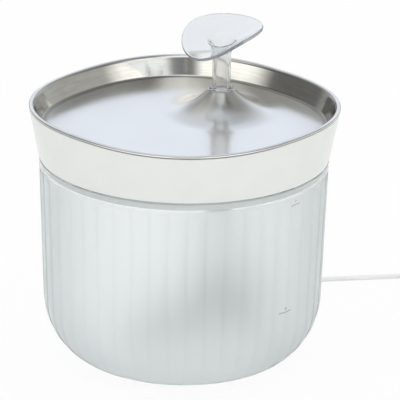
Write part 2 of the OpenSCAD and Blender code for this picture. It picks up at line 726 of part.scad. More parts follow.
module plug_shell() color([0.8, 0.8, 0.8]) plug_frame() translate([0, 0, sleeve_l + plug_body_l])
    difference() {
        translate([-shell_w / 2, -shell_h / 2, 0]) cube([shell_w, shell_h, shell_l]);
        translate([0.4 - shell_w / 2, 0, 1]) cube([shell_w - 0.8, shell_h / 2 - 0.4, shell_l]);
    }

water_tank();
collar();
drinking_tray();
spout_seal();
leaf_spout();
riser_tube();
motor_housing();
stator_core();
stator_winding();
volute();
volute_seal();
intake_cover();
flow_slide();
impeller();
rotor_magnet();
rotor_shaft();
front_bush();
rear_bush();
suction_cups();
filter_box();
filter_lid();
foam_block();
carbon_frame();
carbon_fill();
cord_gland();
cord_tube();
cord_coil();
plug_body();
plug_shell();
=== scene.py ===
# %% [markdown]
# # A pet water fountain
# A frosted tank holds a small pump and a filter. A white collar stands on the tank and carries a steel
# drinking tray, and a clear spout with a leaf on top lets the water fall back on the tray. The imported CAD
# model is loaded first as a fixed frame. Each visible part is then modelled again with finer detail, in
# the place that its CAD node holds, and rides on that node's body.

# %% The frame
import math

import bpy
from mathutils import Matrix, Vector


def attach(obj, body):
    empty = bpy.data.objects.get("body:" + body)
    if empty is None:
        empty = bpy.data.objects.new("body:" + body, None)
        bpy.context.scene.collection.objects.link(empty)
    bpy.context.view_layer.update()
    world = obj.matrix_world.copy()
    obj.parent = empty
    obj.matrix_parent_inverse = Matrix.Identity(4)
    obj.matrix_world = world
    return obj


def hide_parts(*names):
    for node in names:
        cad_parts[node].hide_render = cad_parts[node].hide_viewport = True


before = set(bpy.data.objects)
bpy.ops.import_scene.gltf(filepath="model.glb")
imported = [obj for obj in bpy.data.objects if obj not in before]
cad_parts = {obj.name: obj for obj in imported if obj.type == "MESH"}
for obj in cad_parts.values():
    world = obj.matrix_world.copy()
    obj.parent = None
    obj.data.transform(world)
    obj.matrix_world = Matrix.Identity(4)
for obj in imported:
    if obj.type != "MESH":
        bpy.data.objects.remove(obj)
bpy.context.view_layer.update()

# %% [markdown]
# ## Units
# Blender works in metres, while a maker draws such a part in millimetres. Sizes are written here in
# millimetres and turned into metres where an object is made, so that the numbers stay easy to read.

# %% Millimetres and axes
MM = 0.001
HAIR = 0.001  # two sizes or shares this close count as equal
X_AXIS, Y_AXIS, Z_AXIS = range(3)


def metres(*point):
    """A point in millimetres as a vector in metres."""
    return Vector(point) * MM


# %% [markdown]
# ## Camera
# From some distance and through a long lens, upright lines stay nearly parallel and proportions look
# right. The camera could be pointed with a tracking constraint, but a matrix from its own three axes is
# exact, and it also holds the small roll of a camera that isn't quite level.

# %% Camera
AZIMUTH, ELEVATION, ROLL = math.radians(43), math.radians(20.7), math.radians(0.93)
DISTANCE, AIM_RIGHT, AIM_UP = 2586.5, 10.66, 103.98
LENS, SENSOR = 360, 36

level_right = Vector((math.cos(AZIMUTH), math.sin(AZIMUTH), 0))
level_ahead = Vector((-math.sin(AZIMUTH), math.cos(AZIMUTH), 0))
ahead = math.cos(ELEVATION) * level_ahead - math.sin(ELEVATION) * Vector((0, 0, 1))
level_up = math.sin(ELEVATION) * level_ahead + math.cos(ELEVATION) * Vector((0, 0, 1))
right = math.cos(ROLL) * level_right + math.sin(ROLL) * level_up
up = math.cos(ROLL) * level_up - math.sin(ROLL) * level_right

bpy.ops.object.camera_add(rotation=(0, 0, 0))
camera = bpy.context.object
camera.data.lens, camera.data.sensor_width = LENS, SENSOR
camera_place = (AIM_RIGHT * level_right + Vector((0, 0, AIM_UP)) - DISTANCE * ahead) * MM
camera_turn = Matrix((right, up, -ahead)).transposed().to_4x4()
camera.matrix_world = Matrix.Translation(camera_place) @ camera_turn
bpy.context.scene.camera = camera
bpy.context.scene.view_settings.view_transform = "Standard"
print("camera stands at", [round(v, 3) for v in camera_place])

# %% [markdown]
# ## Cord
# The pump is fed by a thin round lead. It climbs inside the tank, crosses the tank's edge in a notch
# under the collar, falls behind the tank and runs out along the table. The length that isn't in use is
# wound into a flat coil of two layers. A curve with a round bevel is the natural way to make it, because
# its points are the lead's own centreline. The points stand where the CAD solid of the lead has them.

# %% The lead's route to the coil
CORD_D = 3.3
cord_route = [
    [0, 56, 49], [0, 56, 54], [0, 56.6, 60], [0, 59, 68], [0, 63, 77], [0, 67.8, 87], [0, 71.8, 98],
    [0, 74.9, 107.4], [0, 77.3, 115], [0, 79.6, 122.7], [0, 82.4, 127.7], [0, 87.1, 131.3],
    [0, 93, 132.6], [0, 98.9, 131.3], [0, 103.6, 127.6], [-0.4, 106.6, 122], [-1.2, 108, 115],
    [-2.6, 108.6, 107], [-4.6, 108.7, 98], [-7.2, 108.4, 84], [-9.8, 108, 70], [-12.4, 107.5, 56],
    [-14.8, 107.3, 43], [-17, 107.7, 31], [-18.8, 109.2, 20.5], [-20.4, 112, 12], [-21.8, 116.4, 6],
    [-22.8, 122, 2.9], [-23.3, 128.6, 1.75], [-22.8, 134.8, 1.75], [-21.2, 140.6, 1.75],
    [-18, 146.6, 1.75], [-13, 153, 1.75], [-6.2, 162, 1.75], [0.8, 171, 1.75], [7.8, 180, 1.75],
    [14, 188, 1.75], [20, 196, 1.75], [28, 206.7, 1.75]]
print("from the pump to the coil:", len(cord_route), "points")

# %% [markdown]
# The coil starts where the straight lead touches its outer turn. It winds inwards on the table, climbs
# once round the innermost turn and winds outwards again on top, as a lead does when it is coiled by hand.

# %% The coil
COIL_CENTRE = (55.504, 202.655)
COIL_OUT, COIL_IN = 24.45, 14.55
COIL_START, COIL_END = 143.2, 17.5
COIL_TURNS = 8 + (COIL_START - COIL_END) / 360
WINDS_IN, CLIMBS, WINDS_OUT = (0.5, 3.5), (3.5, 4.4), (4.4, 7.9)
POINTS_A_TURN, OVER_TABLE = 20, 0.1


def straight(value, low, high):
    """0 below low, 1 above high, and a straight rise between them."""
    return min(1, max(0, (value - low) / (high - low)))


def between(value, low, high):
    """0 below low, 1 above high, and a smooth rise between them."""
    share = straight(value, low, high)
    return share * share * (3 - 2 * share)


def coil_point(turns):
    """The lead's centre after a number of turns."""
    inward = straight(turns, *WINDS_IN) - straight(turns, *WINDS_OUT)
    radius = COIL_OUT + (COIL_IN - COIL_OUT) * inward
    angle = math.radians(COIL_START - 360 * turns)
    height = CORD_D / 2 + OVER_TABLE + CORD_D * between(turns, *CLIMBS)
    return [
        COIL_CENTRE[0] + radius * math.cos(angle), COIL_CENTRE[1] + radius * math.sin(angle), height]


coil_steps = round(COIL_TURNS * POINTS_A_TURN)
coil_points = [coil_point(COIL_TURNS * i / coil_steps) for i in range(coil_steps + 1)]
print("coil:", round(COIL_TURNS, 2), "turns in", len(coil_points), "points")

# %% The last stretch, 2 mm into the plug
PLUG_START = Vector((83.37, 195.58, 4.1))
PLUG_WAY = Vector((0.3007, -0.9537, 0))
lead_points = cord_route + coil_points
lead_points += [list(Vector(coil_points[-1]).lerp(PLUG_START, s)) for s in (0.35, 0.7)]
lead_points.append(list(PLUG_START + 2 * PLUG_WAY))

# %% A smooth tube through those points
CURVE_STEPS, BEVEL_STEPS = 6, 5


def pick(piece=None):
    """Selects one piece alone, or nothing."""
    bpy.ops.object.select_all(action="DESELECT")
    if piece:
        piece.select_set(True)
        bpy.context.view_layer.objects.active = piece


def make_lead(name, points, diameter):
    """A round tube along a smooth curve, and the points of that curve."""
    curve = bpy.data.curves.new(name, "CURVE")
    curve.dimensions, curve.resolution_u = "3D", CURVE_STEPS
    spline = curve.splines.new("BEZIER")
    spline.bezier_points.add(len(points) - 1)
    for knot, point in zip(spline.bezier_points, points):
        knot.co = metres(*point)
        knot.handle_left_type = knot.handle_right_type = "AUTO"
    lead = bpy.data.objects.new(name, curve)
    bpy.context.collection.objects.link(lead)
    line = [tuple(vertex.co) for vertex in lead.to_mesh().vertices]
    curve.bevel_depth, curve.bevel_resolution = diameter / 2 * MM, BEVEL_STEPS
    curve.use_fill_caps = True
    pick(lead)
    bpy.ops.object.convert(target="MESH")
    return lead, line


cord, cord_line = make_lead("cord", lead_points, CORD_D)
steps = [(Vector(b) - Vector(a)).length for a, b in zip(cord_line, cord_line[1:])]
print("lead, metres:", round(sum(steps), 3), "in", len(cord.data.polygons), "faces")
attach(cord, "tank")
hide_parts("cord_tube", "cord_coil")

# %% [markdown]
# ## Tools for the workshop
# Most parts of this fountain are turned or moulded round forms. The outline of such a part is drawn as a
# chain of edges and spun round an upright line, as a potter or a lathe would do it.


# %% Modes and names
def edit():
    bpy.ops.object.mode_set(mode="EDIT")


def leave():
    bpy.ops.object.mode_set(mode="OBJECT")


def named(name, piece=None):
    """Names a piece and its mesh. The piece is the active object, unless one is given."""
    piece = piece or bpy.context.object
    piece.name = piece.data.name = name
    return piece


# %% Outlines with rounded corners
MOST_ROUND = 0.49  # of the shorter side beside a corner


def rounded(corners, steps=5):
    """Corners are (radius, height) or (radius, height, rounding). Each rounding becomes a short arc."""
    line = []
    for i, corner in enumerate(corners):
        here = Vector(corner[:2])
        if len(corner) < 3 or i in (0, len(corners) - 1):
            line.append(here)
            continue
        back, on = Vector(corners[i - 1][:2]) - here, Vector(corners[i + 1][:2]) - here
        reach = min(corner[2], MOST_ROUND * min(back.length, on.length))
        start, end = here + back.normalized() * reach, here + on.normalized() * reach
        for j in range(steps + 1):
            t = j / steps
            line.append(start.lerp(here, t).lerp(here.lerp(end, t), t))
    return line


# %% The lathe
def turned(name, outline, steps=96, centre=(0, 0), ring=True):
    """Spins an outline of (radius, height) points round the upright line at centre. A ring's outline
    closes on itself, and any other starts and ends on that line."""
    pick()
    bpy.ops.mesh.primitive_plane_add(size=MM)
    edit()
    bpy.ops.mesh.merge(type="CENTER")
    points = [metres(centre[0] + r, centre[1], z) for r, z in outline]
    if ring:
        points.append(points[0])
    bpy.ops.transform.translate(value=points[0])
    for a, b in zip(points, points[1:]):
        bpy.ops.mesh.extrude_vertices_move(TRANSFORM_OT_translate={"value": b - a})
    bpy.ops.mesh.select_all(action="SELECT")
    bpy.ops.mesh.spin(steps=steps, angle=2 * math.pi, center=metres(*centre, 0), axis=(0, 0, 1))
    bpy.ops.mesh.select_all(action="SELECT")
    bpy.ops.mesh.remove_doubles(threshold=2 * HAIR * MM)
    bpy.ops.mesh.normals_make_consistent(inside=False)
    leave()
    return named(name)


# %% Shading, and a piece given to its body
def smooth(piece, angle=35):
    """Shades the faces smooth, apart from edges that are sharper than angle."""
    pick(piece)
    bpy.ops.object.shade_smooth_by_angle(angle=math.radians(angle))
    print(piece.name, len(piece.data.polygons), "faces")


def fit(piece, body, nodes):
    """Puts a finished piece on its body, in the place of its CAD nodes."""
    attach(piece, body)
    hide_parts(*nodes)


# %% [markdown]
# ## Tank
# The tank is one injection-moulded cup. Its wall is straight with a slight taper, its base is a large
# elliptical rounding, and 48 shallow flutes run down the wall and fade out on the rounding. The flutes
# could be cut out one by one, but each cut leaves a tangle of faces. So the cup is spun as one closed
# outline, outside and inside, and the flutes are pressed into its outer face by moving its points.

# %% The tank's outer face
FOOT_R, ROUND_W, ROUND_H, TANK_H, TOP_R, TAPER = 56, 34.4, 44, 136, 93.5, 3.1
LOW_R = FOOT_R + ROUND_W


def tank_r(z):
    """Radius of the tank's outer face at a height."""
    if z >= ROUND_H:
        return LOW_R + TAPER * (z - ROUND_H) / (TANK_H - ROUND_H)
    return FOOT_R + ROUND_W * math.sqrt(1 - (1 - max(z, 0) / ROUND_H) ** 2)


def quarter(foot, low, width, height, steps):
    """A quarter of an ellipse, from a flat foot up to an upright wall."""
    angles = [math.pi / 2 * i / steps for i in range(steps + 1)]
    return [(foot + width * math.sin(t), low + height * (1 - math.cos(t))) for t in angles]


print("tank across its lower and upper edge, mm:", 2 * LOW_R, 2 * TOP_R)

# %% The tank's outline, from the foot's middle to the floor inside
RECESS_R, RECESS_H = 47.4, 0.8
WALL_T, BASE_T, INNER_FOOT_R, LIP_IN = 2.6, 3, 54, 90.9
wall_heights = [58, 72, 86, 100, 112, 120, 124, 126, 127.5, 128.5, 129.3, 130, 132, 134.4]
inner_heights = [120, 100, 80, 60]

tank_outline = [(0, RECESS_H)] + rounded(
    [(40, RECESS_H), (RECESS_R - RECESS_H, RECESS_H, 0.5), (RECESS_R, 0, 0.6), (FOOT_R, 0)], 3)[:-1]
tank_outline += quarter(FOOT_R, 0, ROUND_W, ROUND_H, 26)
tank_outline += [(tank_r(z), z) for z in wall_heights]
tank_outline += rounded(
    [(tank_r(TANK_H - 1), TANK_H - 1), (TOP_R, TANK_H, 0.4), (LIP_IN, TANK_H, 0.4),
     (LIP_IN - 0.02, TANK_H - 2)], 3)
tank_outline += [(tank_r(z) - WALL_T, z) for z in inner_heights]
tank_outline += quarter(
    INNER_FOOT_R, BASE_T, LOW_R - WALL_T - INNER_FOOT_R, ROUND_H - BASE_T, 16)[::-1]
tank_outline += [(30, BASE_T), (0, BASE_T)]
print("tank's outline:", len(tank_outline), "points")

# %% Flutes pressed into the outer face
FLUTES, FLUTE_DEPTH, STEPS_A_FLUTE, BLUNT = 48, 0.6, 10, 0.1
FADE_Z, PLAIN_Z, FADE_ANGLE = 126.5, 130, 30
SKIN, CROWDING = 0.4, 0.1


def flute_depth(z):
    """Full depth on the wall, none above the plain band's edge and on the foot."""
    if z >= ROUND_H:
        return FLUTE_DEPTH * (1 - between(z, FADE_Z, PLAIN_Z))
    t = math.degrees(math.acos(1 - max(z, 0) / ROUND_H))
    return FLUTE_DEPTH * max(0, (t - FADE_ANGLE) / (90 - FADE_ANGLE))


def hollow(share):
    """0 on the ridges at the ends of a flute, 1 in its middle. The ridges are slightly blunt."""
    wave = math.sqrt(math.sin(math.pi * share) ** 2 + BLUNT ** 2) - BLUNT
    return wave / (math.sqrt(1 + BLUNT ** 2) - BLUNT)


def press_flutes(tank):
    """Moves the points of the outer skin in. They crowd on the ridges, where the bend is sharpest."""
    for vertex in tank.data.vertices:
        x, y, z = vertex.co / MM
        r = math.hypot(x, y)
        if r < tank_r(z) - SKIN or z > PLAIN_Z:
            continue
        turns = math.atan2(y, x) / (2 * math.pi) * FLUTES
        flute = math.floor(turns + HAIR)
        share = turns - flute
        share -= CROWDING * math.sin(2 * math.pi * share)
        angle = (flute + share) * 2 * math.pi / FLUTES
        r -= flute_depth(z) * hollow(share)
        vertex.co = metres(r * math.cos(angle), r * math.sin(angle), z)


tank = turned("tank", tank_outline, FLUTES * STEPS_A_FLUTE, ring=False)
press_flutes(tank)
fit(tank, "tank", ["water_tank"])

# %% [markdown]
# The lead leaves the tank through a notch in the back of its edge. A notch is cut with a block whose
# edges are rounded, so two more tools are needed: one that makes such a block, and one that cuts with it.


# %% Blocks and cuts
def cut(piece, cutter):
    """Takes the cutter's shape out of the piece. The cutter is used up."""
    pick(piece)
    boolean = piece.modifiers.new("cut", "BOOLEAN")
    boolean.operation, boolean.solver, boolean.object = "DIFFERENCE", "EXACT", cutter
    bpy.ops.object.modifier_apply(modifier="cut")
    bpy.data.objects.remove(cutter)


def block(name, low, high, rounding=0, segments=3, edges=None):
    """A block between two corners in millimetres. All its edges, or those along one axis, are bevelled."""
    pick()
    middle = (Vector(low) + Vector(high)) / 2
    bpy.ops.mesh.primitive_cube_add(size=1, location=middle * MM)
    piece = named(name)
    piece.scale = (Vector(high) - Vector(low)) * MM
    bpy.ops.object.transform_apply(location=True, rotation=True, scale=True)
    if rounding:
        edit()
        bpy.ops.mesh.select_all(action="DESELECT")
        leave()
        for edge in piece.data.edges:
            a, b = (piece.data.vertices[v].co for v in edge.vertices)
            along = max(range(3), key=lambda i: abs(a[i] - b[i]))
            edge.select = edges is None or along == edges
        edit()
        bpy.ops.mesh.select_mode(type="EDGE")
        bpy.ops.mesh.bevel(offset=rounding * MM, segments=segments, affect="EDGES")
        bpy.ops.mesh.select_mode(type="VERT")
        leave()
    return piece


# %% The notch in the tank's edge
NOTCH_HALF, NOTCH_Z = 2.1, 130.5
notch = block("notch", (-NOTCH_HALF, 85, NOTCH_Z), (NOTCH_HALF, 97, TANK_H + 4), 1, edges=Y_AXIS)
cut(tank, notch)
smooth(tank, 60)

# %% [markdown]
# ## Collar
# The collar is a white moulded ring. It is round where it sits on the tank and a rounded square at its
# top. A loft between two curves would do, but its seams are hard to keep even. So it is spun round first,
# and each point is then pushed out by its share of the way from the circle to that square, which is a
# superellipse. A narrow groove over the tank's edge throws the dark line between the two, and painted
# shade on the tank's top edge makes that line darker.

# %% The rim's rounded square
RIM_HALF, RIM_POWER, RIM_Z = 95, 2.37, 170
SEAT_Z, COLLAR_TOP, COLLAR_T = TANK_H, 168, 2.9


def rim_r(angle):
    """Distance of the rim from the middle, in a direction."""
    c, s = abs(math.cos(angle)), abs(math.sin(angle))
    return RIM_HALF / (c ** RIM_POWER + s ** RIM_POWER) ** (1 / RIM_POWER)


def collar_share(z):
    """0 where the collar is round, 1 where it has the rim's shape."""
    return straight(z, SEAT_Z, COLLAR_TOP)


def square_off(collar):
    for vertex in collar.data.vertices:
        x, y, z = vertex.co / MM
        r, angle = math.hypot(x, y), math.atan2(y, x)
        grown = r + collar_share(z) * (rim_r(angle) - RIM_HALF)
        vertex.co = metres(grown * math.cos(angle), grown * math.sin(angle), z)


print("rim, flat to flat and corner to corner, mm:", 2 * RIM_HALF, round(2 * rim_r(math.pi / 4), 1))

# %% The collar's outline
GROOVE, GROOVE_R = 0.75, 91.2
SKIRT_IN, SKIRT_OUT, SKIRT_LOW = 88.5, 90.5, 131


def collar_at(z, inset):
    """A point that lies inset inside the collar's outer face."""
    share = collar_share(z)
    return (1 - share) * TOP_R + share * RIM_HALF - inset, z


collar_outline = rounded(
    [(SKIRT_IN, SEAT_Z + 2), (SKIRT_IN, SKIRT_LOW, 0.5), (SKIRT_OUT, SKIRT_LOW, 0.3),
     (SKIRT_OUT, SEAT_Z, 0.1), (GROOVE_R, SEAT_Z, 0.1), (GROOVE_R + 0.1, SEAT_Z + GROOVE, 0.1),
     (TOP_R, SEAT_Z + GROOVE, 0.25), collar_at(151.3, 0.2), collar_at(COLLAR_TOP - 0.6, 0.3),
     (*collar_at(COLLAR_TOP, 0.6), 0.5), (*collar_at(COLLAR_TOP, COLLAR_T), 0.4),
     collar_at(160, COLLAR_T), collar_at(151.3, COLLAR_T - 0.1), collar_at(146.2, COLLAR_T - 0.1),
     (SKIRT_IN, SEAT_Z + 4, 1)], 4)
collar = turned("collar_ring", collar_outline, 240)
square_off(collar)
cut(collar, block("skirt_notch", (-2.5, 84, SKIRT_LOW - 2), (2.5, 92, SEAT_Z - 0.6), 1, edges=Y_AXIS))
smooth(collar)
fit(collar, "collar", ["collar"])

# %% [markdown]
# ## Drinking tray
# The tray is pressed from one steel sheet: a bead rolled along the rim, a sloping wall, a flat floor, and
# a cone that rises like a trumpet's bell to the spout. One outline, from the cone's hole out to the bead
# and back underneath, is spun. Its rings are then moved: those of the cone to the cone's own axis behind
# the centre, those of the rim to the rounded square, and those of the floor in between. One mesh for the
# whole sheet keeps its reflections unbroken, which parts that are stuck together wouldn't.

# %% The tray's outline
CONE_Y, HOLE_R, LAND_R, CONE_R, CONE_H, CONE_POWER = 34, 7.02, 8.62, 43, 14.6, 2.45
FLOOR_Z, SHEET, FLOOR_INSET = 157, 0.8, 11.4
CONE_TOP, UNDER_Z = FLOOR_Z + CONE_H, FLOOR_Z - SHEET
FLOOR_EDGE = RIM_HALF - FLOOR_INSET


def cone_line(steps, drop=0):
    """The cone from its land down to the floor, or its under side."""
    shares = [i / steps for i in range(steps + 1)]
    heights = [FLOOR_Z + CONE_H * (1 - t) ** CONE_POWER - drop for t in shares]
    return [(LAND_R + (CONE_R - LAND_R) * t, z) for t, z in zip(shares, heights)]


def from_rim(*corners):
    """Corners whose first number is measured inwards from the rim."""
    return [(RIM_HALF - inset, *rest) for inset, *rest in corners]


floor_rings = [
    CONE_R + (FLOOR_EDGE - CONE_R) * s for s in (0.12, 0.25, 0.4, 0.55, 0.7, 0.82, 0.91, 0.96)]
wall_line = rounded(from_rim(
    (FLOOR_INSET, FLOOR_Z), (8.6, FLOOR_Z, 1.1), (3.7, RIM_Z - 1.2, 1.2), (2.6, RIM_Z, 0.9),
    (0.5, RIM_Z - 0.2, 0.4), (0.1, RIM_Z - 0.8, 0.5), (0.4, RIM_Z - 1.5, 0.4), (1.3, RIM_Z - 1.8)), 6)
under_line = rounded(from_rim(
    (1.3, RIM_Z - 1.8), (3.2, RIM_Z - 1.8, 0.4), (8.1, UNDER_Z, 0.9), (FLOOR_INSET, UNDER_Z)), 4)
tray_outline = rounded(
    [(HOLE_R, CONE_TOP - 0.4), (HOLE_R, CONE_TOP, 0.3), (LAND_R - 0.2, CONE_TOP)], 3)
tray_outline += cone_line(34) + [(r, FLOOR_Z) for r in floor_rings] + wall_line
tray_outline += under_line[1:] + [(r, UNDER_Z) for r in floor_rings[::-2]]
tray_outline += cone_line(12, SHEET)[::-1] + [(HOLE_R, CONE_TOP - SHEET)]
print("tray's outline:", len(tray_outline), "points")


# %% Its rings moved into place
def place_tray_rings(tray):
    for vertex in tray.data.vertices:
        x, y, z = vertex.co / MM
        r, angle = math.hypot(x, y), math.atan2(y, x)
        edge = FLOOR_EDGE + rim_r(angle) - RIM_HALF
        if r > FLOOR_EDGE - HAIR:
            reach, centre = r + rim_r(angle) - RIM_HALF, 0
        elif r < CONE_R + HAIR:
            reach, centre = r, CONE_Y
        else:
            share = (r - CONE_R) / (FLOOR_EDGE - CONE_R)
            reach, centre = CONE_R + (edge - CONE_R) * share, CONE_Y * (1 - share)
        vertex.co = metres(reach * math.cos(angle), centre + reach * math.sin(angle), z)


tray = turned("tray", tray_outline, 300)
place_tray_rings(tray)

# %% [markdown]
# The water leaves the tray through a row of slots behind the front wall. One slot is a block with round
# ends, and its copies are joined to one cutter, so that the sheet is cut only once.

# %% Drain slots
DRAINS, DRAIN_W, DRAIN_PITCH, DRAIN_Y, DRAIN_REACH = 7, 3, 6.6, (-80.8, -68.8), 7


def drain_slot(i):
    x = (i - (DRAINS - 1) / 2) * DRAIN_PITCH
    low = (x - DRAIN_W / 2, DRAIN_Y[0], FLOOR_Z - DRAIN_REACH)
    high = (x + DRAIN_W / 2, DRAIN_Y[1], FLOOR_Z + DRAIN_REACH)
    return block(f"slot_{i}", low, high, DRAIN_W / 2 - 0.02, segments=8, edges=Z_AXIS)


def joined(pieces):
    """Several pieces as one, under the name of the first."""
    pick(pieces[0])
    for piece in pieces:
        piece.select_set(True)
    bpy.ops.object.join()
    return pieces[0]


cut(tray, joined([drain_slot(i) for i in range(DRAINS)]))
smooth(tray, 30)
fit(tray, "tray", ["drinking_tray"])

# %% [markdown]
# ## Seal and spout
# A soft ring in the cone's hole holds the spout. The spout is one clear moulding: a hollow stem with a
# small flange, a flare, and a leaf that is bent to a shallow trough and tilted up to the back. Stem and
# leaf could be made apart and joined, but the joint would show through the clear plastic. So the spout is
# spun as one outline with a flat leaf. The leaf is then made oval, bent and tilted by moving its points,
# and the flare is carried along by a share that grows with its height, so that both flow into each other.

# %% The seal ring, by heights over the cone's top
SEAL_IN, SEAL_OUT, SEAL_NECK = 6.06, 8.26, 6.96
seal_outline = rounded(
    [(SEAL_IN, -1.2), (SEAL_IN, -1.9, 0.3), (SEAL_OUT, -1.9, 0.3), (SEAL_OUT, -0.86),
     (SEAL_NECK, -0.86), (SEAL_NECK, 0.06), (SEAL_OUT, 0.06), (SEAL_OUT, 0.72, 0.3),
     (SEAL_IN, 0.72, 0.3), (SEAL_IN, -0.2)], 3)
seal = turned("seal", [(r, CONE_TOP + z) for r, z in seal_outline], 72, (0, CONE_Y))
smooth(seal)
fit(seal, "seal", ["spout_seal"])

# %% The spout's outline
STEM_R, BORE_R, STEM_LOW = 6, 4, 150.32
FLANGE_Z, FLANGE_H, FLANGE_R = 172.32, 1.4, 7.8
FLARE_Z, FLARE_R, BELL_H = 194.3, 10.4, 9.5
LEAF_Z, LEAF_T, LEAF_HALF, EDGE_W = 205.3, 2, (19.3, 31.35), 0.9
leaf_r = LEAF_HALF[1]


def bell(inner, low, high, steps):
    """A flare from an upright pipe of radius inner out to the leaf, as a quarter of an ellipse."""
    angles = [math.pi / 2 * i / steps for i in range(steps)]
    return [
        (inner + (FLARE_R - inner) * (1 - math.cos(t)), low + (high - low) * math.sin(t)) for t in angles]


leaf_rings = [FLARE_R + (leaf_r - 1.2 - FLARE_R) * i / 9 for i in range(10)]
edge_angles = [math.radians(-90 + 180 * i / 8) for i in range(9)]
edge_line = [
    (leaf_r - EDGE_W * (1 - math.cos(a)), LEAF_Z - LEAF_T / 2 * (1 - math.sin(a))) for a in edge_angles]
spout_outline = rounded(
    [(BORE_R, 160), (BORE_R, STEM_LOW, 0.3), (STEM_R - 0.6, STEM_LOW, 0.2), (STEM_R, STEM_LOW + 0.6, 0.3),
     (STEM_R, FLANGE_Z), (FLANGE_R, FLANGE_Z, 0.2), (FLANGE_R, FLANGE_Z + 1, 0.3),
     (FLANGE_R - 0.4, FLANGE_Z + FLANGE_H, 0.3), (STEM_R, FLANGE_Z + FLANGE_H, 0.4), (STEM_R, 180),
     (STEM_R, 188)], 3)
spout_outline += bell(STEM_R, FLARE_Z, LEAF_Z - LEAF_T, 10)
spout_outline += [(r, LEAF_Z - LEAF_T) for r in leaf_rings] + edge_line
spout_outline += [(r, LEAF_Z) for r in leaf_rings[::-1]]
spout_outline += bell(BORE_R, LEAF_Z - BELL_H, LEAF_Z, 12)[::-1] + [(BORE_R, 190), (BORE_R, 175)]
print("spout's outline:", len(spout_outline), "points")

# %% The leaf bent to a trough
TROUGH_R, BENT_FROM = 28.4, 7
TILT, ROLLED = math.tan(math.radians(10)), math.tan(math.radians(9.85))
SHIFT, TAPERED, FULL = 2.6, 0.213, 0.075


def bend_leaf(spout):
    """Each point of the flat leaf moves to the trough's top face, and back into it along its normal."""
    for vertex in spout.data.vertices:
        x, y, z = vertex.co / MM - Vector((0, CONE_Y, 0))
        r = math.hypot(x, y)
        wide = between(r, BENT_FROM, leaf_r)
        along = y / leaf_r
        narrow = LEAF_HALF[0] / leaf_r * (1 - TAPERED * along + FULL * along ** 2)
        x *= 1 + (narrow - 1) * wide
        y += SHIFT * wide
        share = between(z, FLARE_Z, LEAF_Z - LEAF_T) if r < FLARE_R + 0.01 else 1
        slope = x / math.sqrt(TROUGH_R ** 2 - x ** 2) - ROLLED
        rise = TROUGH_R - math.sqrt(TROUGH_R ** 2 - x ** 2) + TILT * y - ROLLED * x
        normal = Vector((-slope, -TILT, 1)).normalized()
        moved = Vector((x, y, LEAF_Z + rise)) + normal * (z - LEAF_Z)
        vertex.co = metres(*(Vector((x, y, z)).lerp(moved, share) + Vector((0, CONE_Y, 0))))


spout = turned("spout", spout_outline, 120, (0, CONE_Y))
bend_leaf(spout)
smooth(spout)
fit(spout, "spout", ["leaf_spout"])

# %% [markdown]
# ## Level marks
# Two short bars on the tank's side show the highest and the lowest water level, and a small triangle
# points down at each. A colour mask on the tank could draw them too, but printed paint has its own gloss
# and a clean edge, so each mark is a plate as thin as paint. It is made flat, cut into narrow strips, and
# its points are then laid on the wall, so that it follows the flutes.

# %% Marks laid on the wall
MARK_T, BAR_H, POINTER, POINTER_GAP = 0.08, 0.85, 1.5, 0.5
CUTS_A_MM = 4


def lay_on_wall(piece, turn):
    """x is how far a point stands off the wall, y the way round it and z the height."""
    for vertex in piece.data.vertices:
        over, along, z = vertex.co / MM
        angle = math.radians(turn) + along / tank_r(z)
        r = tank_r(z) - flute_depth(z) * hollow(angle / (2 * math.pi) * FLUTES % 1) + over
        vertex.co = metres(r * math.cos(angle), r * math.sin(angle), z)


def level_mark(name, z, turn, width):
    """A bar and a pointer above it, at a height and a turn round the tank."""
    top = z + BAR_H / 2
    bar = block(f"{name}_bar", (-MARK_T / 2, -width / 2, z - BAR_H / 2), (MARK_T, width / 2, top))
    pick()
    bpy.ops.mesh.primitive_cylinder_add(
        vertices=3, radius=POINTER * MM, depth=1.5 * MARK_T * MM,
        location=metres(MARK_T / 4, 0, top + POINTER_GAP + POINTER), rotation=(0, math.pi / 2, 0))
    bpy.ops.object.transform_apply(location=True, rotation=True, scale=True)
    mark = named(name, joined([bar, bpy.context.object]))
    edit()
    for i in range(1, CUTS_A_MM * round(width)):
        bpy.ops.mesh.select_all(action="SELECT")
        bpy.ops.mesh.bisect(plane_co=metres(0, i / CUTS_A_MM - width / 2, 0), plane_no=(0, 1, 0))
    leave()
    lay_on_wall(mark, turn)
    smooth(mark)
    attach(mark, "tank")
    return mark


marks = [level_mark("upper_mark", 124.5, 3, 9), level_mark("lower_mark", 52, 0, 11)]

# %% [markdown]
# ## Coil tie and plug
# A soft band holds the turns of the coil. The plug is a moulded body with grip ribs and a bending sleeve,
# and its metal shell has two windows and a tongue with four contacts. Such a small thing is easiest made
# straight at the origin, from rounded blocks and one turned sleeve, and then laid in its place.


# %% A piece laid in its place
def settle(piece, place, turn=0, tip=0):
    """Turns a piece that was made at the origin, tip about X and then turn about Z, and moves it."""
    piece.rotation_euler = (math.radians(tip), 0, math.radians(turn))
    piece.location = metres(*place)
    pick(piece)
    bpy.ops.object.transform_apply(location=True, rotation=True, scale=True)
    return piece


# %% The band round the coil
TIE_TURN = 285
tie = block("cord_tie", (-7.2, -3, 0.02), (7.2, 3, 7.2), 1.7, 5, edges=Y_AXIS)
cut(tie, block("tie_hole", (-6.75, -4, 0.36), (6.75, 4, 6.8), 1.4, 5, edges=Y_AXIS))
tie_angle, middle_r = math.radians(TIE_TURN), (COIL_OUT + COIL_IN) / 2
tie_place = (
    COIL_CENTRE[0] + middle_r * math.cos(tie_angle), COIL_CENTRE[1] + middle_r * math.sin(tie_angle), 0)
settle(tie, tie_place, TIE_TURN)
smooth(tie)
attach(tie, "tank")

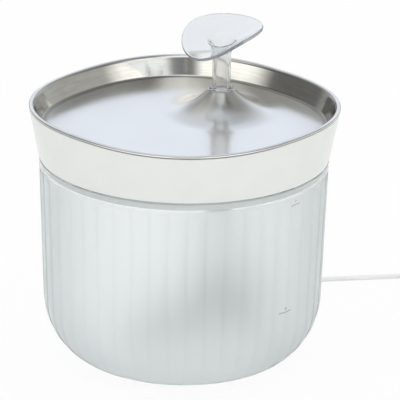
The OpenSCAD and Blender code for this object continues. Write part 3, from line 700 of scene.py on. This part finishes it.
# %% The plug's body, its sleeve and its grip
PLUG_TURN = math.degrees(math.atan2(PLUG_WAY.y, PLUG_WAY.x)) - 90
SLEEVE, BODY, SHELL = 12, 24, 12
PLUG_HALF, PLUG_UP, RIBS = 7.5, 4, 5


def lay_plug(piece):
    settle(piece, PLUG_START, PLUG_TURN)
    smooth(piece)
    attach(piece, "tank")
    return piece


def sleeve_rib(i):
    """One of the sleeve's rings, which grow towards the body."""
    y, r = 0.6 + 2.3 * i, 2.45 + 0.17 * i
    return rounded([(r - 0.6, y), (r, y, 0.3), (r + 0.1, y + 1.5, 0.3), (r - 0.5, y + 1.5)], 3)


def grip_groove(side, i):
    low = (-4.6, 17.4 + 2.4 * i, PLUG_UP * side - 0.45)
    high = (4.6, 18.6 + 2.4 * i, PLUG_UP * side + 0.45)
    return block(f"groove_{side}_{i}", low, high, 0.3, 2, edges=X_AXIS)


ribs = [point for i in range(RIBS) for point in sleeve_rib(i)]
sleeve_outline = [(0, 0), (CORD_D / 2 + 0.05, 0)] + ribs + [(3.3, SLEEVE + 0.4), (0, SLEEVE + 0.4)]
sleeve = settle(turned("sleeve", sleeve_outline, 40, ring=False), (0, 0, 0), 0, -90)
body = block(
    "plug_body", (-PLUG_HALF, SLEEVE, -PLUG_UP), (PLUG_HALF, SLEEVE + BODY, PLUG_UP), 2.4, 6)
cut(body, joined([grip_groove(side, i) for side in (-1, 1) for i in range(RIBS)]))
plug = named("plug", joined([body, sleeve]))
lay_plug(plug)
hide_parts("plug_body")

# %% The plug's shell, tongue and contacts
WINDOWS, CONTACTS = (-3, 3), (-3.5, -1.25, 1.25, 3.5)
shell_y = SLEEVE + BODY


def contact(i, x):
    return block(f"contact_{i}", (x - 0.55, shell_y + 2, -0.1), (x + 0.55, shell_y + 10, 0.12), 0.08, 2)


shell = block(
    "plug_shell_piece", (-6, shell_y - 0.4, -2.25), (6, shell_y + SHELL, 2.25), 0.6, 4, edges=Y_AXIS)
cut(shell, block("shell_hole", (-5.62, shell_y, -1.87), (5.62, shell_y + 20, 1.87), 0.3, 3, edges=Y_AXIS))
for x in WINDOWS:
    low, high = (x - 1.15, shell_y + 5, -4), (x + 1.15, shell_y + 7.4, 4)
    cut(shell, block("window", low, high, 0.15, 2, edges=Z_AXIS))
lay_plug(shell)
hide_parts("plug_shell")
tongue = lay_plug(block("plug_tongue", (-5.5, shell_y - 0.2, -1.85), (5.5, shell_y + 11, 0), 0.25, 2))
contacts = lay_plug(named("plug_contacts", joined([contact(i, x) for i, x in enumerate(CONTACTS)])))

# %% [markdown]
# ## Finishes
# A finish is a small network of nodes. Written node by node it would hide its own sense, so a wire from
# a node is wrapped in a class that knows arithmetic: an expression such as `1 - mask * 0.3` then adds
# the Math nodes by itself. All other nodes come from one method.


# %% Arithmetic on wires
class Wire:
    """One value in a finish. Plain numbers may stand on either side of it."""

    def __init__(self, finish, socket):
        self.finish, self.socket = finish, socket

    def maths(self, operation, first, second=0.0):
        return self.finish.maths(operation, first, second)

    def __add__(self, other):
        return self.maths("ADD", self, other)

    def __sub__(self, other):
        return self.maths("SUBTRACT", self, other)

    def __rsub__(self, other):
        return self.maths("SUBTRACT", other, self)

    def __mul__(self, other):
        return self.maths("MULTIPLY", self, other)

    def __abs__(self):
        return self.maths("ABSOLUTE", self)

    def __pow__(self, power):
        return self.maths("POWER", self, power)

    def least(self, other):
        return self.maths("MINIMUM", self, other)

    __radd__, __rmul__ = __add__, __mul__


# %% A network of nodes
class Finish:
    """The nodes of a material or of the world."""

    def __init__(self, owner):
        owner.use_nodes = True
        self.owner, self.tree = owner, owner.node_tree

    def add(self, kind, settings=None, inputs=None, out=0):
        node = self.tree.nodes.new("ShaderNode" + kind)
        for name, value in (settings or {}).items():
            if name == "stops":
                ramp = node.color_ramp.elements
                while len(ramp) < len(value):
                    ramp.new(1)
                for stop, (position, colour) in zip(ramp, value):
                    stop.position, stop.color = position, colour
            else:
                setattr(node, name, value)
        for name, value in (inputs or {}).items():
            self.feed(node.inputs[name], value)
        return Wire(self, node.outputs[out])

    def feed(self, socket, value):
        if isinstance(value, Wire):
            self.tree.links.new(value.socket, socket)
        else:
            socket.default_value = value

    def maths(self, operation, first, second=0.0):
        return self.add("Math", {"operation": operation}, {0: first, 1: second})

    def rise(self, value, low, high):
        """0 where value is below low, 1 above high, and a smooth rise between them."""
        return self.add(
            "MapRange", {"interpolation_type": "SMOOTHSTEP"},
            {"Value": value, "From Min": low, "From Max": high})

    def mixed(self, share, first, second):
        """A colour between two colours. A share above 1 counts as 1."""
        return self.add("Mix", {"data_type": "RGBA"}, {0: share, 6: first, 7: second}, out=2)

    def place(self):
        return self.add("TexCoord", out="Object")

    def along(self, axis):
        """How far a point of the piece lies along an axis, in millimetres."""
        return self.add("SeparateXYZ", None, {"Vector": self.place()}, out=axis) * (1 / MM)

    def stretched(self, sizes):
        """Object coordinates, so that a pattern of size 1 is as large as sizes, in millimetres."""
        scale = [1 / (size * MM) for size in sizes]
        return self.add("Mapping", {"vector_type": "POINT"}, {"Vector": self.place(), "Scale": scale})

    def noise(self, sizes, detail=2.0):
        place = self.stretched(sizes)
        return self.add("TexNoise", None, {"Vector": place, "Scale": 1.0, "Detail": detail})

    def bump(self, height, depth):
        """A bump of the given depth in millimetres."""
        return self.add("Bump", None, {"Height": height, "Distance": depth * MM, "Strength": 1.0})

    def principled(self, **sockets):
        shader = self.tree.nodes["Principled BSDF"]
        for name, value in sockets.items():
            self.feed(shader.inputs[name.replace("_", " ")], value)
        print(self.owner.name, "in", len(self.tree.nodes), "nodes")


def colour(red, green, blue):
    return (red, green, blue, 1)


# %% A shelf for the finishes
finishes = {}


def new_finish(name):
    finish = Finish(bpy.data.materials.new(name))
    finishes[name] = finish.owner
    return finish


# %% [markdown]
# ### Moulded plastics
# Moulded plastic is never quite even: its gloss changes a little over a hand's breadth, and a fine grain
# from the mould breaks up its highlights. Both come from noise, one coarse and one fine, which has no
# seams and stays sharp from close by.

# %% Plastics
WIDE, GLOSS_VARIES = (18, 18, 18), 0.12


def plastic(name, tint, rough, vary=0.05, grain=0.004, grain_size=0.35, **more):
    finish = new_finish(name)
    wide = finish.noise(WIDE)
    fine = finish.noise((grain_size,) * 3)
    shade = [channel * (1 - vary) for channel in tint]
    finish.principled(
        Base_Color=finish.mixed(finish.rise(wide, 0.3, 0.7), colour(*shade), colour(*tint)),
        Roughness=rough + GLOSS_VARIES * (wide - 0.5), Normal=finish.bump(fine, grain), **more)


plastic("collar_plastic", (0.845, 0.868, 0.842), 0.22, 0.02, 0.002)
plastic("lead_jacket", (0.96, 0.97, 0.965), 0.38, 0.02, 0.004)
plastic("plug_plastic", (0.83, 0.83, 0.81), 0.42, 0.03, 0.008)
plastic("pump_plastic", (0.42, 0.43, 0.43), 0.45, 0.1, 0.01)
plastic("mark_paint", (0.66, 0.68, 0.67), 0.5, 0.1)
plastic("slide_plastic", (0.12, 0.28, 0.40), 0.4, 0.08, 0.008)
plastic("impeller_plastic", (0.72, 0.72, 0.66), 0.4, 0.05)
plastic("filter_plastic", (0.88, 0.90, 0.90), 0.4, 0.04, 0.006)
plastic("riser_plastic", (0.62, 0.65, 0.65), 0.35, 0.04)
plastic("rubber", (0.02, 0.02, 0.02), 0.6, 0.2, 0.01)
plastic("tie_band", (0.74, 0.75, 0.74), 0.7, 0.06, 0.05, 0.5)
plastic("silicone", (0.86, 0.88, 0.89), 0.3, 0.02, 0.003, IOR=1.41, Transmission_Weight=0.6)

# %% [markdown]
# ### Frosted tank
# The tank's plastic is clear, but its surface is etched, so light goes through and is scattered on the
# way. A rough transmission does that, and what stands inside shows as a soft shadow. The band above the
# flutes is polished. Painted shade darkens the flutes' ridges a little, and the top edge more, for the
# dark line under the collar. The wall itself takes some light away, which is a volume's work: it tints
# thick places more than thin ones.

# %% Frosted plastic
frosted = new_finish("frosted_plastic")
tank_x, tank_y, tank_z = (frosted.along(axis) for axis in (X_AXIS, Y_AXIS, Z_AXIS))
polished = frosted.rise(tank_z, PLAIN_Z - 0.4, PLAIN_Z + 0.6)
flute_turns = frosted.maths("ARCTAN2", tank_y, tank_x) * (FLUTES / (2 * math.pi))
from_ridge = abs(flute_turns - frosted.maths("ROUND", flute_turns))
# painted shade along the flutes' ridges, left off the foot and the polished band
ridge_shade = (1 - frosted.rise(from_ridge, 0.02, 0.2)) * frosted.rise(tank_z, 6, 30) * (1 - polished)
# painted shade on the tank's top edge, for the dark line under the collar
painted_edge_shade = frosted.rise(tank_z, TANK_H - 0.7, TANK_H - 0.4)
# the etched plastic's colour, with painted shade on the ridges
etched_with_ridge_shade = frosted.mixed(ridge_shade, colour(0.985, 1.0, 1.0), colour(0.945, 0.96, 0.967))
frosted.principled(
    # painted shade: the top edge darkens to this grey-blue
    Base_Color=frosted.mixed(painted_edge_shade, etched_with_ridge_shade, colour(0.6, 0.63, 0.68)), IOR=1.27,
    Roughness=0.54 + GLOSS_VARIES * frosted.noise(WIDE) - 0.45 * polished,
    Normal=frosted.bump(frosted.noise((0.3, 0.3, 0.3)), 0.004), Transmission_Weight=0.9)
absorbed = frosted.add("VolumeAbsorption", None, {"Color": colour(0.4, 0.62, 0.64), "Density": 8.0})
frosted.feed(frosted.tree.nodes["Material Output"].inputs["Volume"], absorbed)

# %% [markdown]
# ### Clear spout
# The spout is bright clear plastic. The leaf is painted a shade cooler than the stem, a painted reflection
# of how a wide clear plate looks against a white room, so its colour changes with the height on the way
# through the flare.

# %% Clear plastic
clear = new_finish("clear_plastic")
# painted reflection: the leaf's cool tint, rising with the height through the flare
leaf_reflection = clear.rise(clear.along(Z_AXIS), LEAF_Z - 14, LEAF_Z - 4)
clear.principled(
    Base_Color=clear.mixed(leaf_reflection, colour(0.99, 0.99, 0.985), colour(0.895, 0.93, 0.965)),
    Roughness=GLOSS_VARIES * clear.noise(WIDE), IOR=1.38, Transmission_Weight=0.85)

# %% [markdown]
# ### Metals
# Sheet and turned metal carry fine scratches in the direction they were worked in. A noise that is drawn
# out along that direction makes them, in the gloss and in a very shallow bump.


# %% Metals
def metal(name, tint, rough, scratch_sizes, depth, vary=0.08):
    finish = new_finish(name)
    wide = finish.noise((22, 22, 9))
    scratches = finish.noise(scratch_sizes, 4.0)
    shade = [channel * (1 - vary) for channel in tint]
    finish.principled(
        Base_Color=finish.mixed(wide, colour(*shade), colour(*tint)), Metallic=1.0,
        Roughness=rough + 0.1 * (scratches - 0.5) + 0.06 * (wide - 0.5),
        Normal=finish.bump(scratches, depth))


metal("plug_metal", (0.78, 0.78, 0.77), 0.2, (4, 4, 0.3), 0.002)
metal("shaft_steel", (0.74, 0.75, 0.76), 0.18, (0.4, 6, 0.4), 0.001)
metal("core_steel", (0.35, 0.35, 0.36), 0.45, (8, 0.5, 8), 0.02)
metal("copper", (0.72, 0.36, 0.18), 0.3, (5, 0.5, 0.5), 0.03)
metal("magnet", (0.09, 0.09, 0.1), 0.55, (1, 1, 1), 0.01)

# %% [markdown]
# ### The tray's steel
# The tray is drawn from stainless sheet. Its floor is silky, and its wall is brighter and worn in streaks
# that run round it. Painted shade lays a dark line in the corner between them, darkens the floor a little
# towards the wall, and darkens the bead's lower edge.
# Each of these places is a mask. They follow the rim because the distance from the middle is measured as
# the rim's own superellipse does.

# %% Masks on the tray
steel = new_finish("tray_steel")
tray_x, tray_y, tray_z = (steel.along(axis) for axis in (X_AXIS, Y_AXIS, Z_AXIS))
across = (abs(tray_x) ** RIM_POWER + abs(tray_y) ** RIM_POWER) ** (1 / RIM_POWER)


def outside(inset, end):
    """0 further in than inset from the rim, 1 further out than end."""
    return steel.rise(across, RIM_HALF - inset, RIM_HALF - end)


on_wall = outside(8.8, 7.8)
# painted shade: a dark line in the corner where the floor meets the wall
foot = outside(12.4, 9.2) * (1 - on_wall)
# painted shade under the bead's lower edge, where it overhangs the collar
shade_under_bead = outside(1.6, 0.9) * (1 - steel.rise(tray_z, RIM_Z - 1.5, RIM_Z - 0.9))
# painted shade on the floor, growing towards the foot of the wall
shade_near_wall = outside(34, 9) * (1 - on_wall)

# %% Wear, gloss, painted shade and colour of the tray
streaks = steel.noise((26, 26, 1.6), 3.0)
blotches = steel.noise((7, 7, 3), 3.0)
worn = steel.rise(0.6 * streaks + 0.4 * blotches, 0.3, 0.7) * on_wall
sheet = steel.mixed(worn, colour(0.88, 0.88, 0.875), colour(0.76, 0.76, 0.74))
# painted shade: the floor a little darker towards the wall
sheet = steel.mixed(shade_near_wall * 0.15, sheet, colour(0.5, 0.5, 0.47))
steel.principled(
    # painted shade: the corner's line and the bead's lower edge darken towards this grey
    Base_Color=steel.mixed(foot * 0.75 + shade_under_bead * 0.8, sheet, colour(0.25, 0.25, 0.23)),
    Metallic=1.0, Roughness=0.19 - 0.09 * on_wall + 0.08 * (streaks - 0.5),
    Normal=steel.bump(steel.noise((30, 30, 0.5), 4.0), 0.006))

# %% [markdown]
# ### Foam and carbon
# Both are heaps of small cells or grains. A Voronoi pattern gives each a dark middle and a lighter rim,
# in the colour and in the bump, with none of the weight of thousands of modelled grains.


# %% Foam and carbon
def porous(name, tint, cell):
    finish = new_finish(name)
    cells = finish.add("TexVoronoi", None, {"Vector": finish.stretched((cell,) * 3), "Scale": 1.0})
    base = finish.mixed(cells, colour(*[c * 0.3 for c in tint]), colour(*tint))
    finish.principled(Base_Color=base, Roughness=0.95, Normal=finish.bump(cells, cell * 0.4))


porous("foam", (0.36, 0.37, 0.39), 1.2)
porous("carbon", (0.05, 0.05, 0.05), 1.6)

# %% [markdown]
# ### Finishes on the pieces
# A part of the pump or the filter that keeps its CAD shape is called by its node's name.

# %% Finishes given to the pieces
worn_by = {
    "frosted_plastic": [tank], "mark_paint": marks, "collar_plastic": [collar], "tray_steel": [tray],
    "silicone": [seal, "suction_cups"], "clear_plastic": [spout], "lead_jacket": [cord, "cord_gland"],
    "tie_band": [tie], "plug_plastic": [plug, tongue], "plug_metal": [shell, contacts],
    "riser_plastic": ["riser_tube"], "pump_plastic": ["motor_housing", "volute", "intake_cover"],
    "core_steel": ["stator_core"], "copper": ["stator_winding"],
    "rubber": ["volute_seal", "front_bush", "rear_bush"], "slide_plastic": ["flow_slide"],
    "impeller_plastic": ["impeller"], "magnet": ["rotor_magnet"], "shaft_steel": ["rotor_shaft"],
    "filter_plastic": ["filter_box", "filter_lid", "carbon_frame"], "foam": ["foam_block"],
    "carbon": ["carbon_fill"]}
for name, wearers in worn_by.items():
    for wearer in wearers:
        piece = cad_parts[wearer] if isinstance(wearer, str) else wearer
        piece.data.materials.clear()
        piece.data.materials.append(finishes[name])
    print(name, "on", len(wearers))

# %% [markdown]
# ## Light and ground
# The object stands on a plain white ground in a white studio. The ground takes the object's shadow, and
# is shown nearly white to the camera, to mirrors and through glass without sending out more light.

# %% Ground
GROUND_SIZE, SHOWN_WHITE = 8, 0.92
bpy.ops.mesh.primitive_plane_add(size=GROUND_SIZE)
ground = named("ground")
white = Finish(bpy.data.materials.new("ground_white"))
ground.data.materials.append(white.owner)
white.principled(Base_Color=colour(0.9, 0.9, 0.9), Roughness=0.8)
by_camera, by_mirror, through_glass = (
    white.add("LightPath", out=f"Is {kind} Ray") for kind in ("Camera", "Glossy", "Transmission"))
glow = white.add("Emission", None, {"Color": colour(1, 1, 1), "Strength": 1.0})
surface = Wire(white, white.tree.nodes["Principled BSDF"].outputs[0])
seen_white = (by_camera + by_mirror + through_glass) * SHOWN_WHITE
shown = white.add("MixShader", None, {0: seen_white, 1: surface, 2: glow})
white.feed(white.tree.nodes["Material Output"].inputs["Surface"], shown)
print("ground, metres:", tuple(ground.dimensions))

# %% [markdown]
# ## Studio
# Metal and clear plastic live from what they reflect. Lamps and white cards would give them that, but
# they would have to be moved again and again to light the rest evenly. The world can be painted instead:
# first each direction gets its two angles, the turn from the camera to its right and the height.

# %% Directions in the studio
world = bpy.data.worlds.new("studio")
bpy.context.scene.world = world
studio = Finish(world)
look = studio.add("TexCoord", out="Generated")


def towards(way):
    """1 straight in a direction, 0 square to it and -1 away from it."""
    return studio.add("VectorMath", {"operation": "DOT_PRODUCT"}, {0: look, 1: way}, out="Value")


to_camera, to_right, to_sky = towards(-level_ahead), towards(level_right), towards((0, 0, 1))
turned_by = studio.maths("ARCTAN2", to_right, to_camera) * (180 / math.pi)
raised_by = studio.maths("ARCSINE", to_sky) * (180 / math.pi)
print("directions in", len(studio.tree.nodes), "nodes")

# %% [markdown]
# Seen from the object, the room changes from dark to bright as one turns round, and again as one looks
# up. Two wide warm panels stand left and right of the camera with a dark gap between them, the sides are
# dark, and a cool backdrop closes the room behind the object. Each level of the room has its own colour
# ramp for one whole turn. A stop is the turn in degrees, the brightness, and how cool the light is.

# %% The room, level by level
WARM, COOL = Vector((1.0, 0.985, 0.92)), Vector((0.90, 0.95, 1.04))
room_levels = {
    20: [(-180, 0.98, 1), (-166, 0.96, 1), (-156, 0.5, 0.6), (-134, 0.36, 0.2), (-118, 0.14, 0),
         (-83, 0.13, 0), (-73, 1.0, 0), (-62, 1.5, 0), (-46, 1.55, 0), (-33, 1.5, 0), (-18, 1.45, 0),
         (-9, 0.25, 0), (3, 0.1, 0), (13, 0.15, 0), (23, 1.55, 0), (48, 1.45, 0), (68, 1.2, 0),
         (82, 0.42, 0), (110, 0.4, 0), (146, 0.5, 0.3), (158, 0.7, 0.7), (170, 0.98, 1)],
    32: [(-180, 0.76, 1), (-164, 0.7, 0.8), (-150, 0.4, 0.3), (-118, 0.24, 0), (-92, 0.08, 0),
         (-70, 0.12, 0), (-52, 0.5, 0), (-38, 1.1, 0), (-22, 1.15, 0), (-11, 0.3, 0), (0, 0.1, 0),
         (12, 0.25, 0), (24, 1.3, 0), (52, 1.4, 0), (62, 0.95, 0), (74, 0.32, 0), (90, 0.12, 0),
         (112, 0.3, 0), (142, 0.34, 0.3), (158, 0.6, 0.7), (172, 0.76, 1)],
    50: [(-180, 0.7, 0.8), (-160, 0.68, 0.6), (-144, 0.56, 0.3), (-118, 0.36, 0), (-98, 0.3, 0),
         (-84, 0.65, 0), (-62, 0.65, 0), (-36, 0.5, 0), (-22, 1.0, 0), (-8, 1.2, 0), (22, 1.05, 0),
         (38, 0.55, 0), (60, 0.32, 0), (100, 0.3, 0), (130, 0.26, 0.2), (152, 0.45, 0.6),
         (168, 0.52, 0.8)],
    72: [(-180, 0.85, 0.6), (-150, 0.8, 0.3), (-125, 0.6, 0), (-75, 0.3, 0), (-50, 0.5, 0),
         (0, 0.75, 0), (35, 0.7, 0), (52, 0.3, 0), (65, 0.1, 0), (115, 0.2, 0), (145, 0.45, 0.3)]}


def level_ring(lit):
    """The colours of one level. The last stop repeats the first, so that the ring closes."""
    stops = [
        ((degrees + 180) / 360, colour(*(bright * WARM.lerp(COOL, cool))))
        for degrees, bright, cool in lit + [(180, *lit[0][1:])]]
    return studio.add("ValToRGB", {"stops": stops}, {0: round_share})


round_share = studio.add("MapRange", None, {"Value": turned_by, "From Min": -180.0, "From Max": 180.0})
room, lower = None, None
for level, lit in room_levels.items():
    ring = level_ring(lit)
    room = studio.mixed(studio.rise(raised_by, lower, level), room, ring) if room else ring
    lower = level
print("room levels, degrees up:", list(room_levels))

# %% [markdown]
# The foot of the backdrop is dark, as it is where a backdrop meets the ground. It stands within 30
# degrees of straight behind, and reaches 12 degrees up.

# %% The backdrop's foot
BACKDROP_FROM, SOFT, FOOT_UP = 150, 10, (4, 12)
off_left = 1 - studio.rise(turned_by, -BACKDROP_FROM - SOFT, -BACKDROP_FROM + SOFT)
off_right = studio.rise(turned_by, BACKDROP_FROM - SOFT, BACKDROP_FROM + SOFT)
low_down = 1 - studio.rise(raised_by, *FOOT_UP)
room = studio.mixed((off_left + off_right) * low_down, room, colour(0.1, 0.1, 0.11))
print("dark foot, degrees:", 2 * (180 - BACKDROP_FROM), "wide and", FOOT_UP[1], "high")

# %% [markdown]
# All other surfaces are lit evenly, with a little less light from both sides. A mix can't go past its
# second colour, so that colour is brighter than white. The painted room is shown only to rays that have
# met a mirror. Rays that went straight through clear plastic see the plain light.

# %% Light for plain surfaces
LIGHT, LESS_ASIDE, MORE_RIGHT, BRIGHTEST = 1.12, 0.45, 0.02, 1.25
even = LIGHT - LESS_ASIDE * to_right * to_right + MORE_RIGHT * to_right
plain = studio.mixed(even * (1 / BRIGHTEST), colour(0, 0, 0), colour(*(BRIGHTEST,) * 3))
mirrored, mirrors_passed = (studio.add("LightPath", out=out) for out in ("Is Glossy Ray", "Glossy Depth"))
is_mirror = mirrored.least(mirrors_passed)
sky = studio.mixed(is_mirror, plain, room)
studio.feed(world.node_tree.nodes["Background"].inputs["Color"], sky)
print("studio in", len(studio.tree.nodes), "nodes")
